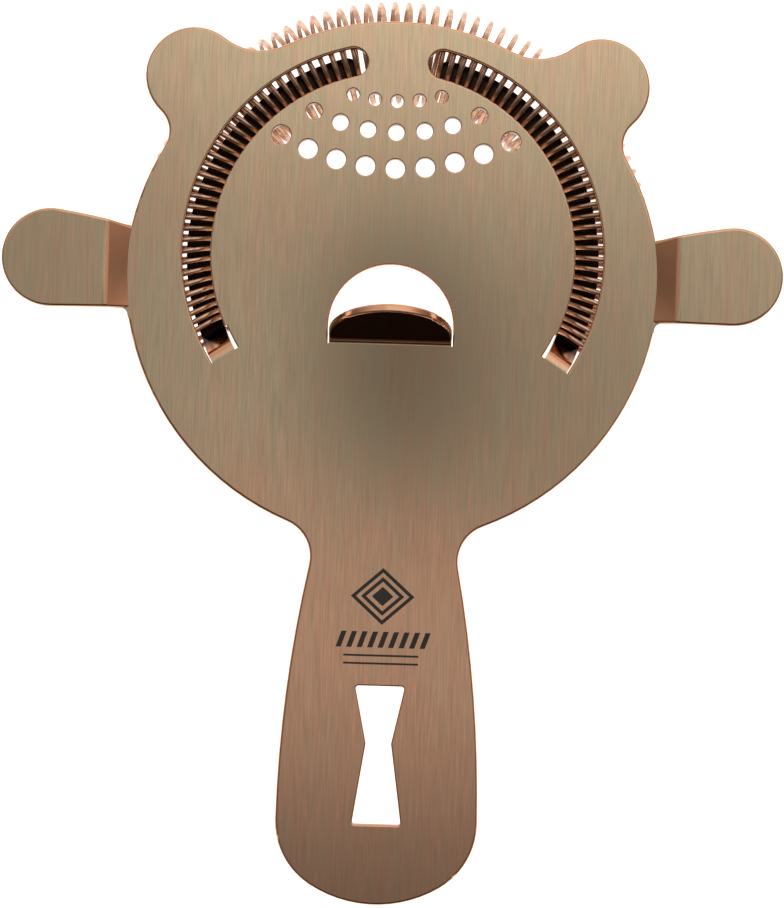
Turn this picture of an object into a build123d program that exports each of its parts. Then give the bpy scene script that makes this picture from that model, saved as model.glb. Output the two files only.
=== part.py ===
from build123d import *
import math
import os

# Hawthorne strainer: one stamped and bent sheet of plated stainless steel, and one
# coil spring threaded on two tongues that are cut out of the sheet's arc slots.
# Millimetres. X runs across the prongs, +Y towards the spring's front and -Y along
# the handle. Z = 0 is the underside of the sheet, and X = Y = 0 is the disc's centre.

# Sheet
sheet = 1.5            # thickness
disc_r = 47.0          # round plate, handle side
front_r = 44.7         # front edge between the ears
flank_r = 45.9         # edge between a prong and an ear
flank_y = -1.7
edge_round = 0.5       # tumbled outer edges
slot_round = 0.3       # edges of the slots and the half-moon
hole_round = 0.2       # edges of the drain holes

# Ears, flat with the disc
ear_r = 8.6
ear_x = 35.75
ear_y = 34.1
ear_outer_fillet = 4.9
ear_inner_fillet = 10.0

# Side prongs, stepped up from the disc
prong_r = 8.6
prong_x = 59.7
prong_y = 1.3
prong_step = 2.0
prong_bend_x = 50.0        # straight outer bend line
prong_root_r = 46.5        # inner bend line, an arc round the disc
prong_root_top = 7.5       # Y of the front edge at the root
prong_root_bottom = -7.0
prong_bend_round = 2.0     # outside of the upper bend
prong_root_round = 1.5     # outside of the lower bend
prong_inner_round = 0.8    # inside of the upper bend
prong_notch_round = 1.2

# Handle
handle_end_y = -110.7
handle_end_r = 21.8
handle_corner_r = 13.3
handle_corner_x = 4.5
handle_side_r = 235.0
handle_side_heading = 180.4
neck_fillet = 6.6

# Half-moon opening and the finger tab bent up from it
moon_r = 11.0
moon_y = -9.1
hinge_y = -12.2
tab_angle = 69.7
tab_gap = 0.25
tab_bend_r = 0.8           # inside radius of the bend
tab_round = 0.4

# Hanging slot in the handle, a bow tie
tie_top_y = -72.2
tie_waist_y = -82.3
tie_bottom_y = -96.6
tie_top_half = 4.35
tie_waist_half = 2.2
tie_bottom_half = 4.3
tie_round = 0.5

# Arc slots and the tongues that stay attached at their rear ends
slot_r = 34.6
slot_w = 5.0
slot_y = 3.6               # centre of the slot arcs
slot_front = 13.1          # degrees from +Y to the middle of the round front end
slot_rear = 122.6          # degrees from +Y to the square rear end
relief_w = 0.4
relief_arc = 8.0           # degrees
tongue_gap = 0.2
tongue_drop = 6.0
tongue_short = 2.2         # degrees, free end stops short of the slot
tongue_slope = 55.0
tongue_bend_r = 1.0        # inside radius of both bends

# Drain holes: three rows on arcs that sag towards the handle
# (hole diameter, row centre Y, row radius, degrees from one hole to the next, holes each side)
drain_rows = [
    (2.2, 61.8, 31.25, 7.2, 2),
    (2.85, 58.65, 33.55, 8.55, 3),
    (3.4, 59.6, 40.85, 7.4, 4),
]

# Coil spring
wire = 0.95
coil_outer_r = 9.1
ring_r = 38.0              # centreline of the coil, in plan
ring_x = 0.2
ring_y = 3.6
ring_end = 114.0           # degrees from +Y to each end
open_pitch = 3.1           # degrees a turn over the front
close_pitch = 2.0          # degrees a turn at the two ends
open_until = 97.0          # degrees from +Y
coil_gap = 0.4             # under the sheet
turn_splay = 0.09          # share of its angle by which a turn's outer edge trails to the rear


def polar(radius, degrees, centre_y=0.0, centre_x=0.0):
    """A point at an angle from +Y, positive towards +X."""
    turn = math.radians(degrees)
    return (centre_x + radius * math.sin(turn), centre_y + radius * math.cos(turn))


def heading(start, end):
    """The direction from one point to another, in degrees from +X."""
    return math.degrees(math.atan2(end[1] - start[1], end[0] - start[0]))


def along(point, degrees, distance):
    """The point that lies a distance away in a direction from +X."""
    turn = math.radians(degrees)
    return (point[0] + distance * math.cos(turn), point[1] + distance * math.sin(turn))


def handle_plan():
    """Round-ended handle whose sides are long arcs, up into the disc."""
    end_c = (0.0, handle_end_y + handle_end_r)
    reach = handle_end_r - handle_corner_r
    corner_c = (handle_corner_x, end_c[1] - math.sqrt(reach**2 - handle_corner_x**2))
    side_c = along(corner_c, handle_side_heading, handle_side_r - handle_corner_r)
    end_turn = heading(end_c, corner_c) + 90
    side_start = handle_side_heading - 180
    side_top = math.degrees(math.asin((-30.0 - side_c[1]) / handle_side_r))
    end_arc = CenterArc(end_c, handle_end_r, -90, end_turn)
    corner_arc = CenterArc(corner_c, handle_corner_r, end_turn - 90, side_start - end_turn + 90)
    side_arc = CenterArc(side_c, handle_side_r, side_start, side_top - side_start)
    top = Line(side_arc @ 1, (0.0, (side_arc @ 1).Y))
    axis = Line(top @ 1, end_arc @ 0)
    half = make_face([end_arc, corner_arc, side_arc, top, axis])
    return half + mirror(half, Plane.YZ)


def disc_plan():
    """Disc with its front edge, flanks and ears, as one flat outline."""
    flank_x = disc_r - math.sqrt(flank_r**2 - flank_y**2)
    flank_top = ear_y - 5
    rear = Circle(disc_r) - Pos(0, disc_r) * Rectangle(4 * disc_r, 2 * disc_r)
    flanks = Sketch()
    for side in (-1, 1):
        flanks += Pos(side * flank_x, flank_y) * Circle(flank_r)
    flanks &= Pos(0, flank_top / 2) * Rectangle(4 * disc_r, flank_top)
    plan = rear + Circle(front_r) + flanks
    for side in (-1, 1):
        plan += Pos(side * ear_x, ear_y) * Circle(ear_r)
    return plan


def outline():
    """The flat sheet's outline without its side prongs."""
    plan = disc_plan() + handle_plan()
    neck = plan.vertices().filter_by(lambda v: -60 < v.Y < -30 and abs(v.X) > 5)
    plan = fillet(neck, neck_fillet)
    outer = plan.vertices().filter_by(lambda v: 20 < v.Y < ear_y - 5 and abs(v.X) > ear_x)
    plan = fillet(outer, ear_outer_fillet)
    inner = plan.vertices().filter_by(lambda v: v.Y > ear_y and abs(v.X) < ear_x - 5)
    return fillet(inner, ear_inner_fillet)


def arc_band(radius, width, front, rear):
    """Right-hand strip along an arc round the slots' centre, with square ends."""
    centre = (0.0, slot_y)
    outer = CenterArc(centre, radius + width / 2, 90 - front, front - rear)
    inner = CenterArc(centre, radius - width / 2, 90 - front, front - rear)
    return make_face([outer, Line(outer @ 1, inner @ 1), inner, Line(inner @ 0, outer @ 0)])


def slot_plan():
    """Right-hand arc slot: round at the front, square and relieved at the rear."""
    end = polar(slot_r, slot_front, slot_y)
    plan = arc_band(slot_r, slot_w, slot_front, slot_rear) + Pos(*end) * Circle(slot_w / 2)
    relief_r = slot_r - slot_w / 2 - relief_w / 2
    return plan + arc_band(relief_r, relief_w, slot_rear - relief_arc, slot_rear)


def moon_plan(gap):
    """Half-moon with straight sides down to the hinge line, drawn in by a gap."""
    depth = moon_y - hinge_y
    plan = Pos(0, hinge_y + depth / 2) * Rectangle(2 * (moon_r - gap), depth)
    dome = Circle(moon_r - gap) - Pos(0, -moon_r) * Rectangle(4 * moon_r, 2 * moon_r)
    return plan + Pos(0, moon_y) * dome


def tie_plan():
    """Bow-tie hanging slot with softened corners."""
    right = [(tie_top_half, tie_top_y), (tie_waist_half, tie_waist_y), (tie_bottom_half, tie_bottom_y)]
    left = [(-x, y) for x, y in reversed(right)]
    plan = make_face(Polyline(*right, *left, close=True))
    return fillet(plan.vertices(), tie_round)


def drain_plan():
    """Three rows of round drain holes behind the spring."""
    plan = Sketch()
    for diameter, row_y, row_r, step, count in drain_rows:
        for place in range(-count, count + 1):
            x, y = polar(row_r, 180 + place * step, row_y)
            plan += Pos(x, y) * Circle(diameter / 2)
    return plan


def stays_sharp(edge):
    """Whether an edge is where a tab or a tongue stays attached, or a relief's short end."""
    hinge = abs(edge.center().Y - hinge_y) < 0.01 and edge.length > moon_r
    rear = abs(edge.length - slot_w - relief_w) < 0.01
    relief_end = edge.length < relief_w + 0.01
    return edge.geom_type == GeomType.LINE and (hinge or rear or relief_end)


def rims(solid):
    """The upper and lower faces of a flat solid."""
    flats = solid.faces().filter_by(Plane.XY).sort_by(Axis.Z)
    return [flats[0], flats[-1]]


def flat_sheet():
    """The disc, ears and handle, pierced and rounded, before any bending."""
    slots = slot_plan()
    slots += mirror(slots, Plane.YZ)
    plan = outline() - slots - moon_plan(0) - tie_plan() - drain_plan()
    plate = extrude(plan, sheet)
    plate = fillet([edge for face in rims(plate) for edge in face.outer_wire().edges()], edge_round)
    largest_rim = math.pi * (max(row[0] for row in drain_rows) + 3 * hole_round)
    holes = [wire for face in rims(plate) for wire in face.inner_wires()]
    drains = [edge for wire in holes for edge in wire.edges() if wire.length < largest_rim]
    plate = fillet(drains, hole_round)
    holes = [wire for face in rims(plate) for wire in face.inner_wires()]
    slots = [edge for wire in holes for edge in wire.edges() if wire.length > largest_rim]
    return fillet([edge for edge in slots if not stays_sharp(edge)], slot_round)


def finger_tab():
    """Half-moon tab bent up about the hinge line."""
    axis = Axis((0, hinge_y, sheet + tab_bend_r), (1, 0, 0))
    root = Plane.XZ.offset(-hinge_y) * Pos(0, sheet / 2) * Rectangle(2 * (moon_r - tab_gap), sheet)
    bend = revolve(root, axis, tab_angle)
    taken = math.radians(tab_angle) * (tab_bend_r + sheet / 2)
    leaf = moon_plan(tab_gap) - Pos(0, hinge_y + taken / 2) * Rectangle(4 * moon_r, taken)
    leaf = extrude(Pos(0, -taken) * leaf, sheet)
    free = [edge for face in rims(leaf) for edge in face.outer_wire().edges()]
    leaf = fillet([edge for edge in free if edge.center().Y > hinge_y + 0.01], tab_round)
    return bend + leaf.rotate(axis, tab_angle)


def ramp_space(z_low, z_high, shift):
    """Space outside the prong's bend: from an arc round the disc to a straight line."""
    wide = 12.0
    far = 80.0
    root_r = prong_root_r + shift
    foot_x = math.sqrt(root_r**2 - wide**2)
    arc = ThreePointArc((foot_x, -wide), (root_r, 0), (foot_x, wide))
    low = make_face([arc, Polyline((foot_x, wide), (far, wide), (far, -wide), (foot_x, -wide))])
    line_x = prong_bend_x + shift
    corners = [(line_x, -wide), (line_x, wide), (far, wide), (far, -wide)]
    high = make_face(Polyline(*corners, close=True))
    return loft([Pos(0, 0, z_low) * low, Pos(0, 0, z_high) * high], ruled=True)


def prong_plan():
    """Right-hand prong: a round tip on a web that widens towards it."""
    inside = 40.0
    top = ThreePointArc((inside, 5.7), (prong_root_r, prong_root_top), (58.7, 9.84))
    foot = (prong_x, prong_y - prong_r)
    bottom = Line((inside, prong_root_bottom), foot)
    web = make_face([top, Line(top @ 1, foot), bottom, Line(bottom @ 0, top @ 0)])
    return web + Pos(prong_x, prong_y) * Circle(prong_r)


def bend_edges(solid, height, low_x, high_x):
    """The edges that run across a prong at a height, between two places along X."""
    across = [edge for edge in solid.edges() if edge.length > prong_r]
    level = [edge for edge in across if abs(edge.center().Z - height) < 0.01]
    return [edge for edge in level if low_x < edge.center().X < high_x and edge.bounding_box().size.X < 3]


def side_prong():
    """Right-hand prong, stepped up by two bends, with its edges rounded."""
    shift = sheet * math.tan(math.atan(prong_step / (prong_bend_x - prong_root_r)) / 2)
    level = Pos(0, 0, sheet / 2) * Box(300, 300, sheet)
    above = ramp_space(sheet, sheet + prong_step, 0)
    below = ramp_space(0, prong_step, shift)
    prong = (extrude(prong_plan(), sheet + prong_step) & (level + above)) - below
    far = prong_bend_x + 2
    prong = fillet(bend_edges(prong, sheet + prong_step, disc_r, far), prong_bend_round)
    prong = fillet(bend_edges(prong, 0, prong_root_r, disc_r + 1), prong_root_round)
    prong = fillet(bend_edges(prong, prong_step, disc_r, far), prong_inner_round)
    free = [edge for edge in prong.edges() if edge.bounding_box().min.X > 44]
    free = [edge for edge in free if edge.bounding_box().size.Z < sheet - 0.01 or edge.length > 2]
    crossing = [edge for edge in free if edge.bounding_box().size.Y > 10 and edge.bounding_box().size.X < 4]
    return fillet([edge for edge in free if edge not in crossing], edge_round)


def notch_fill():
    """Small web that rounds the corner between the disc and a prong's rear edge."""
    joined = prong_plan() + Circle(disc_r)
    notch = joined.vertices().filter_by(lambda v: v.Y < 0 and 40 < v.X < disc_r)
    joined = fillet(notch, prong_notch_round)
    corner = Pos(disc_r, prong_root_bottom - 0.8) * Rectangle(3, 2)
    return extrude(joined & corner, sheet)


def tongue():
    """Right-hand tongue: bent down at the slot's rear end, then level inside the coil."""
    lean = math.radians(tongue_slope)
    back = sheet * math.tan(lean / 2)
    outer_r = tongue_bend_r + sheet
    first = outer_r * math.tan(lean / 2)
    second = first + tongue_drop / math.tan(lean)
    low = sheet - tongue_drop
    over = FilletPolyline(
        (-1, sheet), (first, sheet), (second, low), (40, low), radius=[outer_r, tongue_bend_r])
    under = FilletPolyline(
        (-1, 0), (first - back, 0), (second - back, low - sheet), (40, low - sheet),
        radius=[tongue_bend_r, outer_r])
    ends = [Line(over @ 0, under @ 0), Line(over @ 1, under @ 1)]
    profile = make_face([over, under, *ends])
    start = polar(slot_r, slot_rear, slot_y)
    ahead = Vector(-math.cos(math.radians(slot_rear)), math.sin(math.radians(slot_rear)), 0)
    side = Plane(origin=(*start, 0), x_dir=ahead, z_dir=ahead.cross(Vector(0, 0, 1)))
    bent = extrude(side * profile, 60, both=True)
    width = slot_w - 2 * tongue_gap
    tip = slot_front + tongue_short
    plan = arc_band(slot_r, width, tip, slot_rear + 1.2)
    plan += Pos(*polar(slot_r, tip, slot_y)) * Circle(width / 2)
    return bent & (Pos(0, 0, -sheet - tongue_drop) * extrude(plan, 3 * sheet + tongue_drop))


def body_plate():
    """The whole stamping: sheet, prongs, finger tab and both tongues."""
    plate = flat_sheet() + finger_tab()
    for piece in (side_prong(), notch_fill(), tongue()):
        plate = plate + piece + mirror(piece, Plane.YZ)
    return plate


def half_turns():
    """Angles from +Y at which the wire crosses the coil's mid height."""
    angles = [0.0]
    while angles[-1] < ring_end:
        close = max(0.0, (angles[-1] - open_until) / (ring_end - open_until))
        angles.append(angles[-1] + (open_pitch + (close_pitch - open_pitch) * close) / 2)
    return [-angle for angle in reversed(angles[1:])] + angles


def coil_spring():
    """One wire wound into a coil, bent round the disc and open towards the handle."""
    coil_r = coil_outer_r - wire / 2
    height = -coil_gap - coil_outer_r
    points = []
    for place, angle in enumerate(half_turns()):
        side = -1 if place % 2 else 1
        reach = ring_r + side * coil_r
        trail = 1 + side * turn_splay * coil_r / reach
        points.append(Vector(*polar(reach, angle * trail, ring_y, ring_x), height))
    path = []
    for place, (start, end) in enumerate(zip(points, points[1:])):
        rise = (end - start).length / 2 * (-1 if place % 2 else 1)
        path.append(ThreePointArc(start, (start + end) / 2 + Vector(0, 0, rise), end))
    section = Plane(origin=points[0], z_dir=(0, 0, 1)) * Circle(wire / 2)
    return sweep(section, path=Wire(path))


if __name__ == "__main__":
    os.makedirs("parts", exist_ok=True)
    export_step(body_plate(), "parts/body_plate.step")
    export_step(coil_spring(), "parts/coil_spring.step")
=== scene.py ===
import math

import bpy
from bpy.props import FloatProperty, FloatVectorProperty, IntProperty, PointerProperty
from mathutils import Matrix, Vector


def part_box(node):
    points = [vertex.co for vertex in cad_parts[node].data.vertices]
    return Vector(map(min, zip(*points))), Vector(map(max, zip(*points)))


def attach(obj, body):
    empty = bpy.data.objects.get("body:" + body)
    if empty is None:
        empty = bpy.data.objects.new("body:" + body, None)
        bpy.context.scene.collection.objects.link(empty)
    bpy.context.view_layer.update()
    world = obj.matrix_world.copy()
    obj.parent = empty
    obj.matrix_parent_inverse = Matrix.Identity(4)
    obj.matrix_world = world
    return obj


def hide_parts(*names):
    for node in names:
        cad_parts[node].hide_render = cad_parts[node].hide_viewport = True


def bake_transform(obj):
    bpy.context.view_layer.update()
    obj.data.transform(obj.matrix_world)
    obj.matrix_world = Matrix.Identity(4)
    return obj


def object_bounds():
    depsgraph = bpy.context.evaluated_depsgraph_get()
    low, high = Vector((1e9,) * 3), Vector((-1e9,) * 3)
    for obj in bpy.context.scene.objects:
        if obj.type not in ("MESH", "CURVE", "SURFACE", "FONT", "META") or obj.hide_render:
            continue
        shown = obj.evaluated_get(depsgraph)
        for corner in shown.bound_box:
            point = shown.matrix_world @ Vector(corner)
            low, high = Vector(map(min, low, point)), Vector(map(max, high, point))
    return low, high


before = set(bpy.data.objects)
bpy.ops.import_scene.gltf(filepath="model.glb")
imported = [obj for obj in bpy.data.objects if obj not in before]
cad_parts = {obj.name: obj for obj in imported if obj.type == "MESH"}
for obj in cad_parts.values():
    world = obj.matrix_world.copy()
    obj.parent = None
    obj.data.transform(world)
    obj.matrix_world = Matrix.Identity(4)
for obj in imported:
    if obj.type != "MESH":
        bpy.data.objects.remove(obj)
cad_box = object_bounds()

bl_info = {
    "name": "Hawthorne Strainer",
    "version": (1, 0, 0),
    "blender": (4, 5, 0),
    "location": "3D View > Sidebar > Strainer",
    "description": "Finishes the stamped plate, winds the coil spring and sets the stage",
    "category": "Object",
}

MM = 0.001
coil_low, coil_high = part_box("coil_spring")
SHEET_TOP = 1.5 * MM  # the sheet lies on Z = 0

# Where each finish starts to show on the sheet, and where it is full.
HELD = (-20 * MM, -56 * MM)  # Y along the handle, rubbed back to copper
UNDER_SHEET_OXIDE_AND_SHADE = (0.3 * MM, -2.5 * MM)  # Z below the sheet: the dark oxide there also serves as painted shade under the sheet
WORN = (0.985, 0.93)  # upward part of a face's normal, rounded edges
WALL_OXIDE_AND_SHADE = (0.34, 0.1)  # upward part of a face's normal, cut walls: their dark oxide also serves as painted shade

# Boards between the light and the plate: middle and half size, by direction from the
# plate, and the share of the light that they take away.
GAP = ((0.0, 0.06, 1.0), (0.075, 0.13, 10.0), 0.8)
GAP_SIDE = ((0.1, 0.03, 1.0), (0.15, 0.14, 10.0), 0.3)
BLACK_BOARD = ((0.0, -0.74, 0.66), (0.9, 0.45, 0.5), 0.97)

# The coil is a ring seen from above: its outside radius is half the CAD coil's width.
coil_outside = (coil_high.x - coil_low.x) / 2
ring_centre = Vector((
    (coil_low.x + coil_high.x) / 2,
    coil_high.y - coil_outside,
    (coil_low.z + coil_high.z) / 2,
))


# Helpers


def linear(code):
    """Turns an sRGB hex colour into linear red, green and blue."""
    parts = [int(code[place:place + 2], 16) / 255 for place in (0, 2, 4)]
    return tuple(
        part / 12.92 if part <= 0.04045 else ((part + 0.055) / 1.055) ** 2.4
        for part in parts
    )


def add_node(tree, kind, settings=None, inputs=None):
    """Adds a node, sets its properties and fills its inputs with values or links."""
    node = tree.nodes.new(kind)
    for name, value in (settings or {}).items():
        setattr(node, name, value)
    for name, value in (inputs or {}).items():
        if isinstance(value, bpy.types.NodeSocket):
            tree.links.new(value, node.inputs[name])
        else:
            node.inputs[name].default_value = value
    return node


def new_material(name):
    """An empty node material and its tree."""
    material = bpy.data.materials.new(name)
    material.use_nodes = True
    material.node_tree.nodes.clear()
    return material, material.node_tree


def colour_property(name, description, code):
    """A colour setting whose default is an sRGB hex colour."""
    return FloatVectorProperty(
        name=name,
        description=description,
        subtype="COLOR",
        size=3,
        min=0.0,
        max=1.0,
        default=linear(code),
    )


def length_property(name, description, millimetres):
    """A length setting whose default is given in millimetres."""
    return FloatProperty(
        name=name,
        description=description,
        unit="LENGTH",
        precision=5,
        default=millimetres * MM,
    )


def angle_property(name, description, degrees):
    """An angle setting whose default is given in degrees."""
    return FloatProperty(
        name=name,
        description=description,
        subtype="ANGLE",
        default=math.radians(degrees),
    )


def new_piece(name, points, faces, material, body, smooth=True):
    """A mesh piece that rides on a CAD body and takes its finish from a material."""
    mesh = bpy.data.meshes.new(name)
    mesh.from_pydata(points, [], faces)
    mesh.validate()
    if smooth:
        mesh.shade_smooth()
    else:
        mesh.shade_flat()
    mesh.materials.append(material)
    piece = bpy.data.objects.new(name, mesh)
    bpy.context.scene.collection.objects.link(piece)
    if body:
        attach(piece, body)
    return piece


# Settings


class PlateFinish(bpy.types.PropertyGroup):
    """Colours and brush lines of the plated sheet."""

    copper: colour_property("Copper", "Rubbed copper between the brush lines", "C49679")
    olive: colour_property("Patina", "Olive brown patina left in the brush lines", "B7A384")
    # This dark colour also serves as painted shade on the cut walls and the tongues below the
    # sheet.
    edge: colour_property("Edge copper", "Fresh copper on the tumbled edges", "CC8862")
    oxide: colour_property("Oxide", "Dark oxide where buffing doesn't reach", "1E1610")
    roughness: FloatProperty(
        name="Roughness",
        description="Roughness of the plated surface between two brush lines",
        subtype="FACTOR",
        default=0.13,
    )
    line_spacing: length_property("Line spacing", "From one brush line to the next", 0.26)
    line_length: length_property("Line length", "Length of a brush line", 7.0)
    line_depth: length_property("Line depth", "Depth of a brush line", 0.0008)
    streak_width: length_property("Streak width", "Width of a band of like colour", 2.6)


class LinePattern(bpy.types.PropertyGroup):
    """Sizes of the plain line pattern marked on the handle."""

    centre_y: length_property("Diamond place", "Y of the diamonds' centre", -56.4)
    half_width: length_property("Half width", "Half the width of the largest diamond", 5.6)
    half_height: length_property("Half height", "Half the height of the largest diamond", 5.0)
    band_y: length_property("Band place", "Y of the middle of the band of bars", -64.0)
    band_width: length_property("Band width", "Width of the band of bars", 16.6)
    band_height: length_property("Band height", "Height of the band of bars", 2.8)
    rule_y: length_property("Rule place", "Y between the two thin rules", -67.5)
    rule_width: length_property("Rule width", "Width of the two thin rules", 13.2)
    ink: colour_property("Mark", "Dark oxide that the laser leaves", "201812")


class SpringWinding(bpy.types.PropertyGroup):
    """Wire, turns and finish of the coil spring."""

    wire: length_property("Wire", "Wire diameter", 0.95)
    coil_outer: length_property("Coil radius", "Outside radius of one turn", 9.1)
    open_pitch: angle_property("Open pitch", "Angle from turn to turn over the front", 3.1)
    close_pitch: angle_property("Close pitch", "Angle from turn to turn at the ends", 2.0)
    open_until: angle_property("Open until", "Angle from the front where turns close up", 97.0)
    ring_end: angle_property("Ring end", "Angle from the front to each end", 114.0)
    splay: FloatProperty(
        name="Splay",
        description="Share of its angle by which a turn's outer edge trails to the rear",
        subtype="FACTOR",
        default=0.09,
    )
    lean: angle_property("Lean", "Angle by which each turn leans along the coil", 1.0)
    steps: IntProperty(name="Steps", description="Sections in one turn", default=32)
    sides: IntProperty(name="Sides", description="Sides of the wire's section", default=12)
    copper: colour_property("Wire copper", "Copper drawn on with the wire", "D2A68A")
    patina: colour_property("Wire patina", "Brown patina left in the draw lines", "A98468")


class StageSettings(bpy.types.PropertyGroup):
    """Camera, floor and light."""

    camera_height: length_property("Camera height", "Height of the camera", 300.0)
    camera_x: length_property("Camera X", "Camera's place across the prongs", 0.9)
    camera_y: length_property("Camera Y", "Camera's place along the handle", -31.35)
    camera_turn: angle_property("Camera turn", "Turn of the camera about its own axis", 1.7)
    frame_height: length_property("Frame height", "Height of the view at the sheet", 159.4)
    floor: colour_property("Floor", "Opal acrylic of the light table", "FFFFFF")
    floor_light: FloatProperty(
        name="Floor light",
        description="Light that comes up through the floor",
        default=1.0,
    )
    panel_light: FloatProperty(
        name="Panel light",
        description="Brightness of the overhead panel",
        default=0.74,
    )
    front_light: FloatProperty(
        name="Front light",
        description="Panel's brightness on the spring's side, times its middle's",
        default=1.9,
    )
    rear_light: FloatProperty(
        name="Rear light",
        description="Panel's brightness on the handle's side, times its middle's",
        default=0.39,
    )
    side_light: FloatProperty(
        name="Side light",
        description="Panel's brightness on the left prong's side, times its middle's",
        default=0.72,
    )
    front_wall_light: FloatProperty(
        name="Front wall light",
        description="Brightness of the white wall in front of the spring",
        default=1.0,
    )
    wall_light: FloatProperty(
        name="Wall light",
        description="Brightness of the room's walls",
        default=0.2,
    )
    low_light: FloatProperty(
        name="Low light",
        description="Brightness from below",
        default=0.1,
    )


# Materials


def brushed_plate_material(finish):
    """Stainless sheet, copper plated, oxidised brown and brushed along the handle.

    The eye sees long fine lines: copper where the brush took the patina off and olive
    brown between, with a reflection that spreads across the lines more than along them.
    """
    material, tree = new_material("antique_copper_plate_brushed")
    place = add_node(tree, "ShaderNodeTexCoord").outputs["Object"]

    def lines(spacing, length, detail):
        """Noise drawn out along the handle, one cell per spacing."""
        scale = (1 / spacing, 1 / length, 1 / length)
        stretched = add_node(
            tree,
            "ShaderNodeMapping",
            inputs={"Vector": place, "Scale": scale},
        )
        noise = add_node(
            tree,
            "ShaderNodeTexNoise",
            inputs={
                "Vector": stretched.outputs[0],
                "Scale": 1.0,
                "Detail": detail,
                "Roughness": 0.6,
            },
        )
        return noise.outputs["Fac"]

    # Real brush lines are about 0.05 mm apart, too fine to show, so these are coarser.
    fine = lines(finish.line_spacing, finish.line_length, 2.0)
    streaks = lines(finish.streak_width, finish.line_length * 4, 3.0)
    blotches = add_node(
        tree,
        "ShaderNodeTexNoise",
        inputs={"Vector": place, "Scale": 1 / 0.022, "Detail": 2.0},
    ).outputs["Fac"]

    # Share of bare copper: mostly streaks and fine lines, a little slow blotching.
    mixed = add_node(
        tree,
        "ShaderNodeMath",
        {"operation": "MULTIPLY_ADD"},
        {0: fine, 1: 0.9, 2: streaks},
    )
    share = add_node(
        tree,
        "ShaderNodeMath",
        {"operation": "MULTIPLY_ADD"},
        {0: blotches, 1: 0.5, 2: mixed.outputs[0]},
    )
    lined = add_node(
        tree,
        "ShaderNodeMapRange",
        inputs={
            "Value": share.outputs[0],
            "From Min": 1.0,
            "From Max": 1.45,
            "To Min": -0.1,
            "To Max": 0.55,
        },
    )
    # Hands rub the handle back to copper, and the disc keeps its patina.
    axes = add_node(tree, "ShaderNodeSeparateXYZ", inputs={0: place})
    held = add_node(
        tree,
        "ShaderNodeMapRange",
        {"interpolation_type": "SMOOTHSTEP"},
        {
            "Value": axes.outputs["Y"],
            "From Min": HELD[0],
            "From Max": HELD[1],
            "To Max": 0.75,
        },
    )
    copper_share = add_node(
        tree,
        "ShaderNodeMath",
        {"operation": "ADD", "use_clamp": True},
        {0: lined.outputs[0], 1: held.outputs[0]},
    )
    colour = add_node(
        tree,
        "ShaderNodeMix",
        {"data_type": "RGBA"},
        {"Factor": copper_share.outputs[0], 6: (*finish.olive, 1), 7: (*finish.copper, 1)},
    )

    # Each line is a little lighter or darker than the next.
    shade = add_node(
        tree,
        "ShaderNodeMapRange",
        inputs={"Value": fine, "From Min": 0.3, "From Max": 0.7, "To Min": 0.87, "To Max": 1.1},
    )
    lined_colour = add_node(
        tree,
        "ShaderNodeVectorMath",
        {"operation": "SCALE"},
        {0: colour.outputs[2], "Scale": shade.outputs[0]},
    )

    # Tumbling rubs the edges back to fresh copper: they are the faces that slope.
    normal = add_node(tree, "ShaderNodeNewGeometry").outputs["True Normal"]
    upright = add_node(tree, "ShaderNodeSeparateXYZ", inputs={0: normal}).outputs["Z"]
    slope = add_node(tree, "ShaderNodeMath", {"operation": "ABSOLUTE"}, {0: upright})
    worn = add_node(
        tree,
        "ShaderNodeMapRange",
        inputs={
            "Value": slope.outputs[0],
            "From Min": WORN[0],
            "From Max": WORN[1],
            "To Max": 0.8,
        },
    )
    edged = add_node(
        tree,
        "ShaderNodeMix",
        {"data_type": "RGBA"},
        {"Factor": worn.outputs[0], 6: lined_colour.outputs[0], 7: (*finish.edge, 1)},
    )
    # The cut walls and the tongues below the sheet are mixed towards the dark oxide colour:
    # partly the oxide that unbuffed metal keeps, partly painted shade on the walls and under the
    # sheet.
    # Painted shade on the cut walls, on top of their oxide.
    wall_oxide_and_shade = add_node(
        tree,
        "ShaderNodeMapRange",
        inputs={
            "Value": slope.outputs[0],
            "From Min": WALL_OXIDE_AND_SHADE[0],
            "From Max": WALL_OXIDE_AND_SHADE[1],
            "To Max": 0.75,
        },
    )
    # Painted shade below the sheet, on top of the oxide that is never buffed there.
    under_sheet_oxide_and_shade = add_node(
        tree,
        "ShaderNodeMapRange",
        inputs={
            "Value": axes.outputs["Z"],
            "From Min": UNDER_SHEET_OXIDE_AND_SHADE[0],
            "From Max": UNDER_SHEET_OXIDE_AND_SHADE[1],
        },
    )
    # Painted shade and oxide together, mixed into the plate's colour below.
    oxide_and_painted_shade = add_node(
        tree,
        "ShaderNodeMath",
        {"operation": "MAXIMUM"},
        {0: under_sheet_oxide_and_shade.outputs[0], 1: wall_oxide_and_shade.outputs[0]},
    )
    colour_with_oxide_and_shade = add_node(
        tree,
        "ShaderNodeMix",
        {"data_type": "RGBA"},
        {"Factor": oxide_and_painted_shade.outputs[0], 6: edged.outputs[2], 7: (*finish.oxide, 1)},
    )

    # Patina is a little duller than the copper beside it.
    dullness = add_node(
        tree,
        "ShaderNodeMapRange",
        inputs={
            "Value": fine,
            "To Min": finish.roughness + 0.06,
            "To Max": finish.roughness - 0.04,
        },
    )
    grooves = add_node(
        tree,
        "ShaderNodeBump",
        inputs={"Height": fine, "Distance": finish.line_depth, "Strength": 1.0},
    )
    surface = add_node(
        tree,
        "ShaderNodeBsdfPrincipled",
        inputs={
            "Base Color": colour_with_oxide_and_shade.outputs[2],
            "Metallic": 1.0,
            "Roughness": dullness.outputs[0],
            "Normal": grooves.outputs[0],
        },
    )
    add_node(tree, "ShaderNodeOutputMaterial", inputs={"Surface": surface.outputs[0]})
    return material


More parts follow.
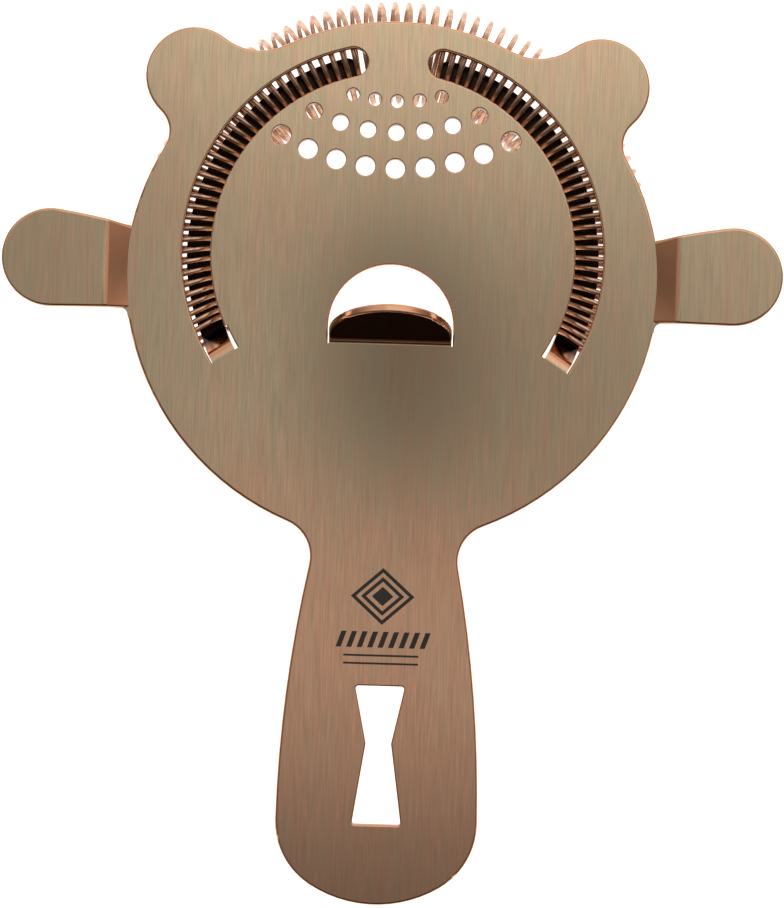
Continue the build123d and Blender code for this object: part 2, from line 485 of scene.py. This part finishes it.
def drawn_wire_material(winding):
    """Stainless spring wire, drawn and copper plated.

    The eye sees a smooth bright wire with brown left in patches along it.
    """
    material, tree = new_material("antique_copper_wire_drawn")
    place = add_node(tree, "ShaderNodeTexCoord").outputs["Object"]
    # Patina patches are about twice as long as the wire is thick.
    patches = add_node(
        tree,
        "ShaderNodeTexNoise",
        inputs={"Vector": place, "Scale": 1 / (2 * winding.wire), "Detail": 3.0},
    ).outputs["Fac"]
    share = add_node(
        tree,
        "ShaderNodeMapRange",
        inputs={"Value": patches, "From Min": 0.38, "From Max": 0.62},
    )
    colour = add_node(
        tree,
        "ShaderNodeMix",
        {"data_type": "RGBA"},
        {"Factor": share.outputs[0], 6: (*winding.patina, 1), 7: (*winding.copper, 1)},
    )
    dullness = add_node(
        tree,
        "ShaderNodeMapRange",
        inputs={"Value": patches, "To Min": 0.34, "To Max": 0.2},
    )
    surface = add_node(
        tree,
        "ShaderNodeBsdfPrincipled",
        inputs={
            "Base Color": colour.outputs[2],
            "Metallic": 1.0,
            "Roughness": dullness.outputs[0],
        },
    )
    add_node(tree, "ShaderNodeOutputMaterial", inputs={"Surface": surface.outputs[0]})
    return material


def laser_mark_material(pattern):
    """Dark oxide grown on the sheet by a marking laser.

    The eye sees a matt brown black film that breaks up slightly in fine grain.
    """
    material, tree = new_material("laser_marked_oxide")
    place = add_node(tree, "ShaderNodeTexCoord").outputs["Object"]
    # The laser's hatch is about 0.04 mm, too fine to show, so the grain is 0.25 mm.
    grain = add_node(
        tree,
        "ShaderNodeTexNoise",
        inputs={"Vector": place, "Scale": 1 / 0.00025, "Detail": 2.0},
    ).outputs["Fac"]
    brown = tuple(min(1.0, part * 2.2) for part in pattern.ink)
    colour = add_node(
        tree,
        "ShaderNodeMix",
        {"data_type": "RGBA"},
        {"Factor": grain, 6: (*pattern.ink, 1), 7: (*brown, 1)},
    )
    surface = add_node(
        tree,
        "ShaderNodeBsdfPrincipled",
        inputs={"Base Color": colour.outputs[2], "Metallic": 0.0, "Roughness": 0.6},
    )
    add_node(tree, "ShaderNodeOutputMaterial", inputs={"Surface": surface.outputs[0]})
    return material


def opal_acrylic_material(stage):
    """Opal acrylic sheet, cast and lit from below.

    The eye sees an even white that washes out the shadow of what lies on it.
    """
    material, tree = new_material("opal_acrylic_cast")
    place = add_node(tree, "ShaderNodeTexCoord").outputs["Object"]
    clouding = add_node(
        tree,
        "ShaderNodeTexNoise",
        inputs={"Vector": place, "Scale": 12.0, "Detail": 1.0},
    ).outputs["Fac"]
    dullness = add_node(
        tree,
        "ShaderNodeMapRange",
        inputs={"Value": clouding, "To Min": 0.5, "To Max": 0.6},
    )
    surface = add_node(
        tree,
        "ShaderNodeBsdfPrincipled",
        inputs={
            "Base Color": (*stage.floor, 1),
            "Roughness": dullness.outputs[0],
            "Emission Color": (*stage.floor, 1),
            "Emission Strength": stage.floor_light,
        },
    )
    add_node(tree, "ShaderNodeOutputMaterial", inputs={"Surface": surface.outputs[0]})
    return material


# Shapes


def turn_places(winding):
    """Angles from the front at which the wire crosses the coil's mid height."""
    angles = [0.0]
    while angles[-1] < winding.ring_end:
        close = (angles[-1] - winding.open_until) / (winding.ring_end - winding.open_until)
        pitch = winding.open_pitch + (winding.close_pitch - winding.open_pitch) * max(0.0, close)
        angles.append(angles[-1] + pitch / 2)
    return [-angle for angle in reversed(angles[1:])] + angles


def wire_path(winding):
    """Points along the wire's centreline, each with the middle of its turn."""
    places = turn_places(winding)
    turn_r = winding.coil_outer - winding.wire / 2
    ring_r = coil_outside - winding.coil_outer
    half = winding.steps // 2
    path = []
    for count in range((len(places) - 1) * half + 1):
        place, part = divmod(count / half, 1.0)
        place = int(place)
        after = min(place + 1, len(places) - 1)
        angle = places[place] + (places[after] - places[place]) * part
        # The wire rises at the outside, passes over the top and comes down inside.
        phase = math.pi * (count / half - len(places) // 2 + 1)
        out = math.cos(phase)
        up = math.sin(phase)
        reach = ring_r + turn_r * out
        trail = angle * winding.splay * turn_r * out / reach
        lean = math.tan(winding.lean) * turn_r * up / ring_r
        at = angle + trail + lean
        middle = Vector((math.sin(angle) * ring_r, math.cos(angle) * ring_r, 0.0))
        point = Vector((math.sin(at) * reach, math.cos(at) * reach, turn_r * up))
        path.append((ring_centre + point, ring_centre + middle))
    return path


def tube(path, radius, sides):
    """A round tube along a path, closed at both ends by a rounded cap."""
    points = []
    faces = []
    lines = [point for point, _ in path]

    def section(centre, middle, direction, size):
        """One ring of points square to the wire."""
        inward = middle - centre
        inward = (inward - inward.dot(direction) * direction).normalized()
        across = direction.cross(inward)
        for side in range(sides):
            turn = 2 * math.pi * side / sides
            points.append(centre + size * (math.cos(turn) * inward + math.sin(turn) * across))

    first = (lines[1] - lines[0]).normalized()
    last = (lines[-1] - lines[-2]).normalized()
    cap = (math.radians(60), math.radians(30))
    for rise in cap:
        centre = lines[0] - first * radius * math.sin(rise)
        section(centre, path[0][1], first, radius * math.cos(rise))
    for place, (centre, middle) in enumerate(path):
        before = lines[max(place - 1, 0)]
        after = lines[min(place + 1, len(lines) - 1)]
        section(centre, middle, (after - before).normalized(), radius)
    for rise in reversed(cap):
        centre = lines[-1] + last * radius * math.sin(rise)
        section(centre, path[-1][1], last, radius * math.cos(rise))
    rings = len(points) // sides
    for ring in range(rings - 1):
        for side in range(sides):
            here = ring * sides + side
            beside = ring * sides + (side + 1) % sides
            faces.append((here, beside, beside + sides, here + sides))
    points.append(lines[0] - first * radius)
    points.append(lines[-1] + last * radius)
    end = (rings - 1) * sides
    for side in range(sides):
        beside = (side + 1) % sides
        faces.append((beside, side, len(points) - 2))
        faces.append((end + side, end + beside, len(points) - 1))
    return points, faces


def add_prism(points, faces, outline, low, high):
    """Adds a closed plate with a convex outline."""
    start = len(points)
    count = len(outline)
    points.extend((x, y, low) for x, y in outline)
    points.extend((x, y, high) for x, y in outline)
    faces.append([start + place for place in reversed(range(count))])
    faces.append([start + count + place for place in range(count)])
    for place in range(count):
        after = (place + 1) % count
        faces.append([start + place, start + after, start + count + after, start + count + place])


def add_frame(points, faces, outer, inner, low, high):
    """Adds a closed flat frame between two outlines with as many corners."""
    start = len(points)
    count = len(outer)
    for outline, height in ((outer, low), (outer, high), (inner, low), (inner, high)):
        points.extend((x, y, height) for x, y in outline)
    for place in range(count):
        after = (place + 1) % count
        outer_low, outer_high, inner_low, inner_high = (
            (start + row * count + place, start + row * count + after) for row in range(4)
        )
        faces.append([*outer_low, *reversed(outer_high)])
        faces.append([*reversed(inner_low), *inner_high])
        faces.append([*outer_high, *reversed(inner_high)])
        faces.append([*reversed(outer_low), *inner_low])


# Operators


class STRAINER_OT_finish_plate(bpy.types.Operator):
    """Gives the CAD plate its brushed antique copper finish"""

    bl_idname = "strainer.finish_plate"
    bl_label = "Finish the Plate"

    def execute(self, context):
        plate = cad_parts["body_plate"]
        if not plate.data.polygons:
            raise RuntimeError("the packed plate has no faces to finish")
        material = brushed_plate_material(context.scene.strainer_plate)
        for slot in plate.material_slots:
            slot.material = material
        return {"FINISHED"}


class STRAINER_OT_mark_handle(bpy.types.Operator):
    """Marks a plain pattern of lines on the handle"""

    bl_idname = "strainer.mark_handle"
    bl_label = "Mark the Handle"

    film = 0.02 * MM  # the oxide stands this much above the sheet and as much into it
    stroke = 0.9 * MM  # width of the diamonds' lines
    rule = 0.35 * MM  # width of a thin rule
    bars = 9  # slanted bars in the band

    def execute(self, context):
        pattern = context.scene.strainer_pattern
        low = SHEET_TOP - self.film
        high = SHEET_TOP + self.film
        points = []
        faces = []

        def diamond(share, inset):
            """Corners of a diamond, a share of the largest one and drawn in by an inset."""
            wide = pattern.half_width * share - inset
            tall = pattern.half_height * share - inset * pattern.half_height / pattern.half_width
            middle = pattern.centre_y
            return [(wide, middle), (0, middle + tall), (-wide, middle), (0, middle - tall)]

        for share in (1.0, 0.68):
            outer = diamond(share, 0.0)
            inner = diamond(share, self.stroke)
            add_frame(points, faces, outer, inner, low, high)
        add_prism(points, faces, diamond(0.34, 0.0), low, high)

        bar = pattern.band_width / (2 * self.bars)
        slant = pattern.band_height * 0.35
        bottom = pattern.band_y - pattern.band_height / 2
        top = pattern.band_y + pattern.band_height / 2
        for place in range(self.bars):
            left = -pattern.band_width / 2 + (2 * place + 0.3) * bar
            outline = [
                (left, bottom),
                (left + bar, bottom),
                (left + bar + slant, top),
                (left + slant, top),
            ]
            add_prism(points, faces, outline, low, high)

        half = pattern.rule_width / 2
        for middle in (pattern.rule_y - 2 * self.rule, pattern.rule_y + 2 * self.rule):
            bottom = middle - self.rule / 2
            top = middle + self.rule / 2
            outline = [(-half, bottom), (half, bottom), (half, top), (-half, top)]
            add_prism(points, faces, outline, low, high)

        material = laser_mark_material(pattern)
        mark = new_piece("etched_line_pattern", points, faces, material, "plate", smooth=False)
        return {"FINISHED"}


class STRAINER_OT_wind_spring(bpy.types.Operator):
    """Winds the coil spring from one smooth length of wire"""

    bl_idname = "strainer.wind_spring"
    bl_label = "Wind the Spring"

    def execute(self, context):
        winding = context.scene.strainer_spring
        if winding.coil_outer >= coil_outside:
            raise RuntimeError("the coil's turns are larger than the ring that they lie on")
        points, faces = tube(wire_path(winding), winding.wire / 2, winding.sides)
        spring = new_piece("coil_spring_wire", points, faces, drawn_wire_material(winding), None)
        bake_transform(spring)
        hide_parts("coil_spring")
        return {"FINISHED"}


class STRAINER_OT_set_stage(bpy.types.Operator):
    """Lays the floor, lights it and places the camera"""

    bl_idname = "strainer.set_stage"
    bl_label = "Set the Stage"

    def execute(self, context):
        stage = context.scene.strainer_stage
        self.lay_floor(stage)
        self.light(context, stage)
        self.place_camera(context, stage)
        context.scene.view_settings.view_transform = "Standard"
        return {"FINISHED"}

    def lay_floor(self, stage):
        """A wide round sheet just under the spring."""
        height = cad_box[0].z - 0.1 * MM
        reach = 4.0
        count = 96
        turns = [2 * math.pi * place / count for place in range(count)]
        points = [(reach * math.cos(turn), reach * math.sin(turn), height) for turn in turns]
        material = opal_acrylic_material(stage)
        floor = new_piece("floor", points, [list(range(count))], material, None)

    def light(self, context, stage):
        """A soft overhead light with a gap at its middle, dim walls and one white wall."""
        world = bpy.data.worlds.new("soft_studio")
        world.use_nodes = True
        context.scene.world = world
        tree = world.node_tree
        tree.nodes.clear()
        toward = add_node(tree, "ShaderNodeTexCoord").outputs["Generated"]
        parts = add_node(tree, "ShaderNodeSeparateXYZ", inputs={0: toward})

        def ramp(value, low, high, to_low, to_high):
            """A smooth change from one level to another."""
            return add_node(
                tree,
                "ShaderNodeMapRange",
                {"interpolation_type": "SMOOTHSTEP"},
                {
                    "Value": value,
                    "From Min": low,
                    "From Max": high,
                    "To Min": to_low,
                    "To Max": to_high,
                },
            ).outputs[0]

        def combine(operation, one, other):
            """Two levels taken together."""
            return add_node(
                tree,
                "ShaderNodeMath",
                {"operation": operation},
                {0: one, 1: other},
            ).outputs[0]

        def flag(centre, half, depth):
            """A soft edged board in front of the light, by its direction from the plate."""
            place = add_node(
                tree,
                "ShaderNodeMapping",
                inputs={
                    "Vector": toward,
                    "Location": [-at / size for at, size in zip(centre, half)],
                    "Scale": [1 / size for size in half],
                },
            )
            spot = add_node(
                tree,
                "ShaderNodeTexGradient",
                {"gradient_type": "SPHERICAL"},
                {0: place.outputs[0]},
            )
            return ramp(spot.outputs["Fac"], 0.0, 0.8, 1.0, 1.0 - depth)

        # An overhead panel that reaches lower on the spring's side than on the handle's.
        tilted = add_node(
            tree,
            "ShaderNodeMath",
            {"operation": "MULTIPLY_ADD"},
            {0: parts.outputs["Y"], 1: 0.45, 2: parts.outputs["Z"]},
        ).outputs[0]
        panel = ramp(tilted, 0.45, 0.95, 0.0, stage.panel_light)
        front = ramp(parts.outputs["Y"], 0.12, 0.3, 1.0, stage.front_light)
        rear = ramp(parts.outputs["Y"], -0.27, -0.12, stage.rear_light, 1.0)
        side = ramp(parts.outputs["X"], -0.22, -0.06, stage.side_light, 1.0)
        # The room's walls give a dim level all round, dimmer still from below, and the
        # one in front of the spring is white.
        walls = ramp(parts.outputs["Z"], -0.3, 0.1, stage.low_light, stage.wall_light)
        facing = ramp(parts.outputs["Y"], 0.3, 0.85, 0.0, stage.front_wall_light)
        walls = combine("MAXIMUM", walls, facing)
        rear = combine("MULTIPLY", rear, side)
        shaped = combine("MULTIPLY", panel, combine("MULTIPLY", front, rear))
        level = combine("MAXIMUM", shaped, walls)
        # The gap at the panel's middle, and a black board on the handle's side.
        gap = combine("MULTIPLY", flag(*GAP), flag(*GAP_SIDE))
        board = flag(*BLACK_BOARD)
        level = combine("MULTIPLY", level, combine("MULTIPLY", gap, board))
        background = add_node(
            tree,
            "ShaderNodeBackground",
            inputs={"Color": (*linear("FFFFFF"), 1), "Strength": level},
        )
        add_node(tree, "ShaderNodeOutputWorld", inputs={"Surface": background.outputs[0]})

    def place_camera(self, context, stage):
        """A camera that looks straight down on the plate."""
        lens = bpy.data.cameras.new("camera")
        lens.sensor_width = 36.0
        lens.lens = lens.sensor_width * (stage.camera_height - SHEET_TOP) / stage.frame_height
        lens.clip_start = 0.01
        camera = bpy.data.objects.new("camera", lens)
        camera.location = (stage.camera_x, stage.camera_y, stage.camera_height)
        camera.rotation_euler = (0.0, 0.0, stage.camera_turn)
        context.scene.collection.objects.link(camera)
        context.scene.camera = camera


class STRAINER_PT_panel(bpy.types.Panel):
    """Lists the strainer's pieces and their settings"""

    bl_idname = "STRAINER_PT_panel"
    bl_label = "Hawthorne Strainer"
    bl_space_type = "VIEW_3D"
    bl_region_type = "UI"
    bl_category = "Strainer"

    def draw(self, context):
        for operator, settings in STEPS:
            box = self.layout.box()
            box.operator(operator.bl_idname)
            group = getattr(context.scene, settings)
            for name in group.__annotations__:
                box.prop(group, name)


GROUPS = {
    "strainer_plate": PlateFinish,
    "strainer_pattern": LinePattern,
    "strainer_spring": SpringWinding,
    "strainer_stage": StageSettings,
}
STEPS = (
    (STRAINER_OT_finish_plate, "strainer_plate"),
    (STRAINER_OT_mark_handle, "strainer_pattern"),
    (STRAINER_OT_wind_spring, "strainer_spring"),
    (STRAINER_OT_set_stage, "strainer_stage"),
)
CLASSES = (*GROUPS.values(), *(operator for operator, _ in STEPS), STRAINER_PT_panel)


def register():
    """Registers the classes and hangs the settings on the scene."""
    for entry in CLASSES:
        bpy.utils.register_class(entry)
    for name, group in GROUPS.items():
        setattr(bpy.types.Scene, name, PointerProperty(type=group))


def unregister():
    """Takes the settings off the scene and unregisters the classes."""
    for name in GROUPS:
        delattr(bpy.types.Scene, name)
    for entry in reversed(CLASSES):
        bpy.utils.unregister_class(entry)


def main():
    """Builds the strainer."""
    register()
    bpy.ops.strainer.finish_plate()
    bpy.ops.strainer.mark_handle()
    bpy.ops.strainer.wind_spring()
    bpy.ops.strainer.set_stage()


if __name__ == "__main__":
    main()
